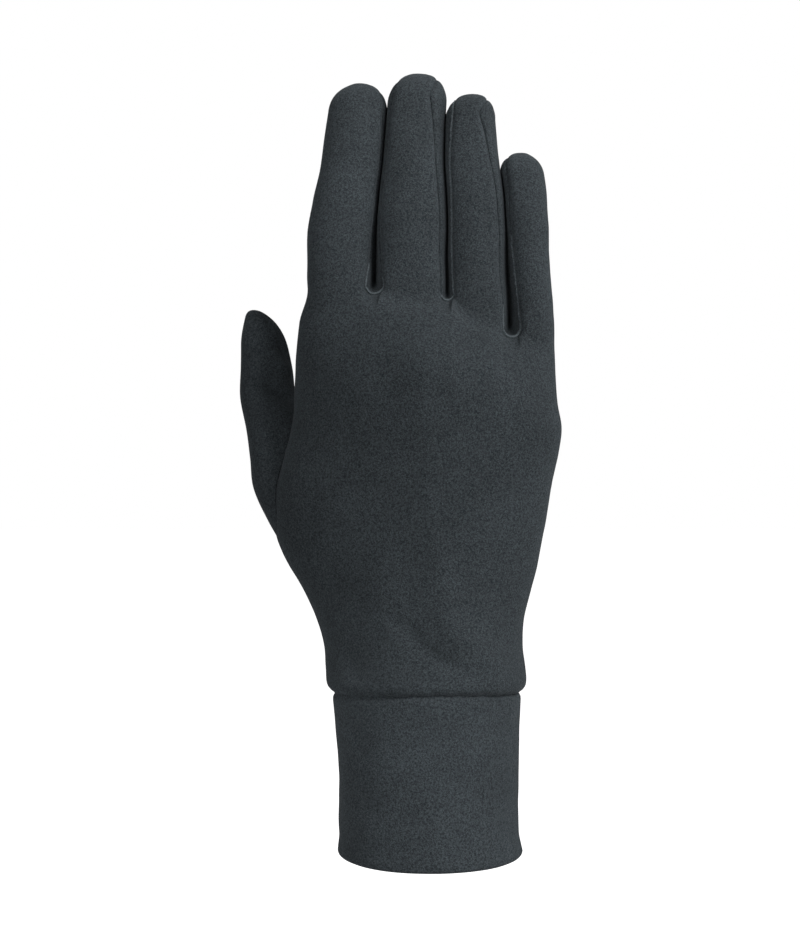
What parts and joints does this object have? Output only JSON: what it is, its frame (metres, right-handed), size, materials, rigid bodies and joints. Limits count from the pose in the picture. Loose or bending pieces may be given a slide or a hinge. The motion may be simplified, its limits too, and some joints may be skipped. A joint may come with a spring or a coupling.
{
  "type": "glove liner",
  "caption": "Right-hand knit glove liner in its worn form, with separate finger sides, a set-in thumb and a folded cuff.",
  "frame": {"origin": "centre of the cuff's open mouth, in the plane of the hem", "axes": "+Z from the cuff towards the fingertips, -Y out of the back of the hand, -X towards the thumb"},
  "size_m": [0.1058, 0.0573, 0.2527],
  "materials": {
    "panel_cloth": "brushed dark slate knit with a soft nap",
    "fourchette_cloth": "brushed dark slate knit with a soft nap",
    "cuff_cloth": "brushed dark slate knit, folded double"
  },
  "bodies": {
    "root": {"back_panel": "panel_cloth", "palm_panel": "panel_cloth", "fourchette_index_middle": "fourchette_cloth", "fourchette_middle_ring": "fourchette_cloth", "fourchette_ring_little": "fourchette_cloth", "thumb": "panel_cloth", "cuff": "cuff_cloth"}
  },
  "joints": []
}
